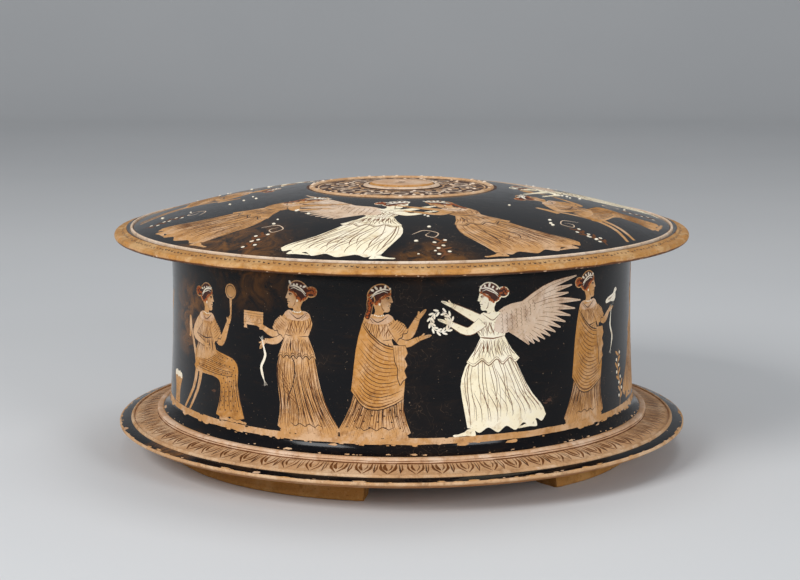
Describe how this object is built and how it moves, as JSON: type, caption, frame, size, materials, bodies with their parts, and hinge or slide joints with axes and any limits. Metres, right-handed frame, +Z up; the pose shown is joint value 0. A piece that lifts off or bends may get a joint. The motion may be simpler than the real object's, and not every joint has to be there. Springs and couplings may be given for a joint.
{
  "type": "pyxis",
  "caption": "Wide, low lidded clay box: straight-walled bowl on a moulded flange with arc feet cut from a ring, and a shallow domed lid with a rolled rim that lifts off.",
  "frame": {"origin": "on the turning axis, at the level the feet stand on", "axes": "+Z up along the turning axis; -Y faces the front of the vessel, +X to its right"},
  "size_m": [0.24, 0.24, 0.1116],
  "materials": {
    "black_gloss": "black slip fired to a soft gloss",
    "red_clay": "burnished reserved clay",
    "pale_clay": "worn reserved clay with faded slip lines",
    "foot_clay": "matt ochre clay",
    "added_white": "matt raised white slip"
  },
  "bodies": {
    "bowl": {"base_flange": "pale_clay", "bowl_wall": "black_gloss", "bowl_floor": "red_clay", "foot_front_right": "foot_clay", "foot_back": "foot_clay", "foot_front_left": "foot_clay"},
    "lid": {"lid_dome": "black_gloss", "lid_rim": "red_clay", "lid_locating_ring": "red_clay", "lid_fillet_ring": "red_clay", "lid_boss": "pale_clay"}
  },
  "joints": [
    {"name": "lid_lift", "type": "slide", "parent": "bowl", "child": "lid", "axis": [0, 0, 1], "range_m": [0, 0.12]}
  ]
}
